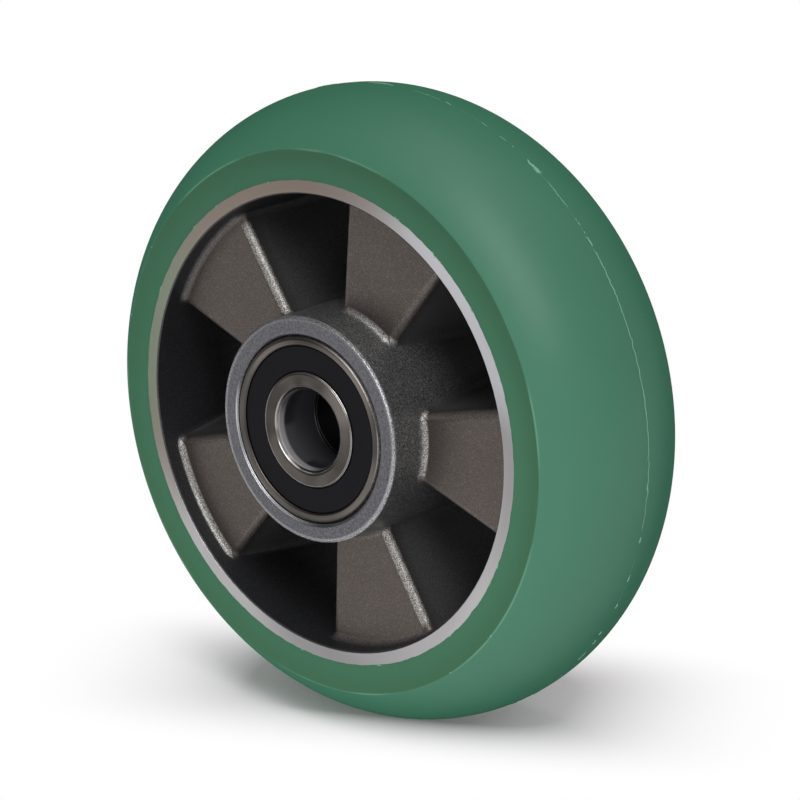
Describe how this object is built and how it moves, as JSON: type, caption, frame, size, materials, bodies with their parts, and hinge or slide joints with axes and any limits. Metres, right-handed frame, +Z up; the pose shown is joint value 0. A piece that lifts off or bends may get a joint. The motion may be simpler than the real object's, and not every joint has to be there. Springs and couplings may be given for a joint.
{
  "type": "polyurethane castor wheel",
  "caption": "Castor wheel with a crowned polyurethane tyre on a cast aluminium centre with raised web panels, turning on sealed ball bearings.",
  "frame": {"origin": "centre of the wheel, the middle of the axle bore", "axes": "+Y along the axle, away from the front face that the picture shows; +Z up; +X to the right when looking at the front face"},
  "size_m": [0.16, 0.06, 0.16],
  "materials": {
    "polyurethane": "satin green",
    "cast_aluminium": "sand-cast grain, machined rim and hub faces",
    "bearing_steel": "ground",
    "seal_rubber": "moulded black",
    "seal_steel": "pressed sheet",
    "cage_steel": "pressed sheet",
    "ball_steel": "polished",
    "spacer_steel": "turned, oiled"
  },
  "bodies": {
    "axle_set": {"spacer_tube": "spacer_steel", "front_inner_ring": "bearing_steel", "rear_inner_ring": "bearing_steel"},
    "wheel": {"tyre": "polyurethane", "wheel_centre": "cast_aluminium", "front_outer_ring": "bearing_steel", "front_outer_seal": "seal_rubber", "front_outer_seal_insert": "seal_steel", "front_inner_seal": "seal_rubber", "front_inner_seal_insert": "seal_steel", "rear_outer_ring": "bearing_steel", "rear_outer_seal": "seal_rubber", "rear_outer_seal_insert": "seal_steel", "rear_inner_seal": "seal_rubber", "rear_inner_seal_insert": "seal_steel"},
    "front_cage": {"front_cage_outer_half": "cage_steel", "front_cage_inner_half": "cage_steel", "front_cage_rivets": "cage_steel"},
    "front_ball_1": {"front_ball_1": "ball_steel"},
    "front_ball_2": {"front_ball_2": "ball_steel"},
    "front_ball_3": {"front_ball_3": "ball_steel"},
    "front_ball_4": {"front_ball_4": "ball_steel"},
    "front_ball_5": {"front_ball_5": "ball_steel"},
    "front_ball_6": {"front_ball_6": "ball_steel"},
    "front_ball_7": {"front_ball_7": "ball_steel"},
    "front_ball_8": {"front_ball_8": "ball_steel"},
    "rear_cage": {"rear_cage_outer_half": "cage_steel", "rear_cage_inner_half": "cage_steel", "rear_cage_rivets": "cage_steel"},
    "rear_ball_1": {"rear_ball_1": "ball_steel"},
    "rear_ball_2": {"rear_ball_2": "ball_steel"},
    "rear_ball_3": {"rear_ball_3": "ball_steel"},
    "rear_ball_4": {"rear_ball_4": "ball_steel"},
    "rear_ball_5": {"rear_ball_5": "ball_steel"},
    "rear_ball_6": {"rear_ball_6": "ball_steel"},
    "rear_ball_7": {"rear_ball_7": "ball_steel"},
    "rear_ball_8": {"rear_ball_8": "ball_steel"}
  },
  "joints": [
    {"name": "wheel_spin", "type": "hinge", "parent": "axle_set", "child": "wheel", "pos_m": [0, 0, 0], "axis": [0, 1, 0], "continuous": true},
    {"name": "front_cage_spin", "type": "hinge", "parent": "axle_set", "child": "front_cage", "pos_m": [0, -0.023, 0], "axis": [0, 1, 0], "continuous": true},
    {"name": "front_ball_1_roll", "type": "hinge", "parent": "front_cage", "child": "front_ball_1", "pos_m": [0, -0.023, 0.01675], "axis": [0, 1, 0], "continuous": true},
    {"name": "front_ball_2_roll", "type": "hinge", "parent": "front_cage", "child": "front_ball_2", "pos_m": [0.01184, -0.023, 0.01184], "axis": [0, 1, 0], "continuous": true},
    {"name": "front_ball_3_roll", "type": "hinge", "parent": "front_cage", "child": "front_ball_3", "pos_m": [0.01675, -0.023, 0], "axis": [0, 1, 0], "continuous": true},
    {"name": "front_ball_4_roll", "type": "hinge", "parent": "front_cage", "child": "front_ball_4", "pos_m": [0.01184, -0.023, -0.01184], "axis": [0, 1, 0], "continuous": true},
    {"name": "front_ball_5_roll", "type": "hinge", "parent": "front_cage", "child": "front_ball_5", "pos_m": [0, -0.023, -0.01675], "axis": [0, 1, 0], "continuous": true},
    {"name": "front_ball_6_roll", "type": "hinge", "parent": "front_cage", "child": "front_ball_6", "pos_m": [-0.01184, -0.023, -0.01184], "axis": [0, 1, 0], "continuous": true},
    {"name": "front_ball_7_roll", "type": "hinge", "parent": "front_cage", "child": "front_ball_7", "pos_m": [-0.01675, -0.023, 0], "axis": [0, 1, 0], "continuous": true},
    {"name": "front_ball_8_roll", "type": "hinge", "parent": "front_cage", "child": "front_ball_8", "pos_m": [-0.01184, -0.023, 0.01184], "axis": [0, 1, 0], "continuous": true},
    {"name": "rear_cage_spin", "type": "hinge", "parent": "axle_set", "child": "rear_cage", "pos_m": [0, 0.023, 0], "axis": [0, 1, 0], "continuous": true},
    {"name": "rear_ball_1_roll", "type": "hinge", "parent": "rear_cage", "child": "rear_ball_1", "pos_m": [0, 0.023, 0.01675], "axis": [0, 1, 0], "continuous": true},
    {"name": "rear_ball_2_roll", "type": "hinge", "parent": "rear_cage", "child": "rear_ball_2", "pos_m": [0.01184, 0.023, 0.01184], "axis": [0, 1, 0], "continuous": true},
    {"name": "rear_ball_3_roll", "type": "hinge", "parent": "rear_cage", "child": "rear_ball_3", "pos_m": [0.01675, 0.023, 0], "axis": [0, 1, 0], "continuous": true},
    {"name": "rear_ball_4_roll", "type": "hinge", "parent": "rear_cage", "child": "rear_ball_4", "pos_m": [0.01184, 0.023, -0.01184], "axis": [0, 1, 0], "continuous": true},
    {"name": "rear_ball_5_roll", "type": "hinge", "parent": "rear_cage", "child": "rear_ball_5", "pos_m": [0, 0.023, -0.01675], "axis": [0, 1, 0], "continuous": true},
    {"name": "rear_ball_6_roll", "type": "hinge", "parent": "rear_cage", "child": "rear_ball_6", "pos_m": [-0.01184, 0.023, -0.01184], "axis": [0, 1, 0], "continuous": true},
    {"name": "rear_ball_7_roll", "type": "hinge", "parent": "rear_cage", "child": "rear_ball_7", "pos_m": [-0.01675, 0.023, 0], "axis": [0, 1, 0], "continuous": true},
    {"name": "rear_ball_8_roll", "type": "hinge", "parent": "rear_cage", "child": "rear_ball_8", "pos_m": [-0.01184, 0.023, 0.01184], "axis": [0, 1, 0], "continuous": true}
  ],
  "couplings": [
    {"joint": "front_cage_spin", "follows": "wheel_spin", "ratio": 0.61848},
    {"joint": "front_ball_1_roll", "follows": "wheel_spin", "ratio": 1.9916},
    {"joint": "front_ball_2_roll", "follows": "wheel_spin", "ratio": 1.9916},
    {"joint": "front_ball_3_roll", "follows": "wheel_spin", "ratio": 1.9916},
    {"joint": "front_ball_4_roll", "follows": "wheel_spin", "ratio": 1.9916},
    {"joint": "front_ball_5_roll", "follows": "wheel_spin", "ratio": 1.9916},
    {"joint": "front_ball_6_roll", "follows": "wheel_spin", "ratio": 1.9916},
    {"joint": "front_ball_7_roll", "follows": "wheel_spin", "ratio": 1.9916},
    {"joint": "front_ball_8_roll", "follows": "wheel_spin", "ratio": 1.9916},
    {"joint": "rear_cage_spin", "follows": "wheel_spin", "ratio": 0.61848},
    {"joint": "rear_ball_1_roll", "follows": "wheel_spin", "ratio": 1.9916},
    {"joint": "rear_ball_2_roll", "follows": "wheel_spin", "ratio": 1.9916},
    {"joint": "rear_ball_3_roll", "follows": "wheel_spin", "ratio": 1.9916},
    {"joint": "rear_ball_4_roll", "follows": "wheel_spin", "ratio": 1.9916},
    {"joint": "rear_ball_5_roll", "follows": "wheel_spin", "ratio": 1.9916},
    {"joint": "rear_ball_6_roll", "follows": "wheel_spin", "ratio": 1.9916},
    {"joint": "rear_ball_7_roll", "follows": "wheel_spin", "ratio": 1.9916},
    {"joint": "rear_ball_8_roll", "follows": "wheel_spin", "ratio": 1.9916}
  ]
}
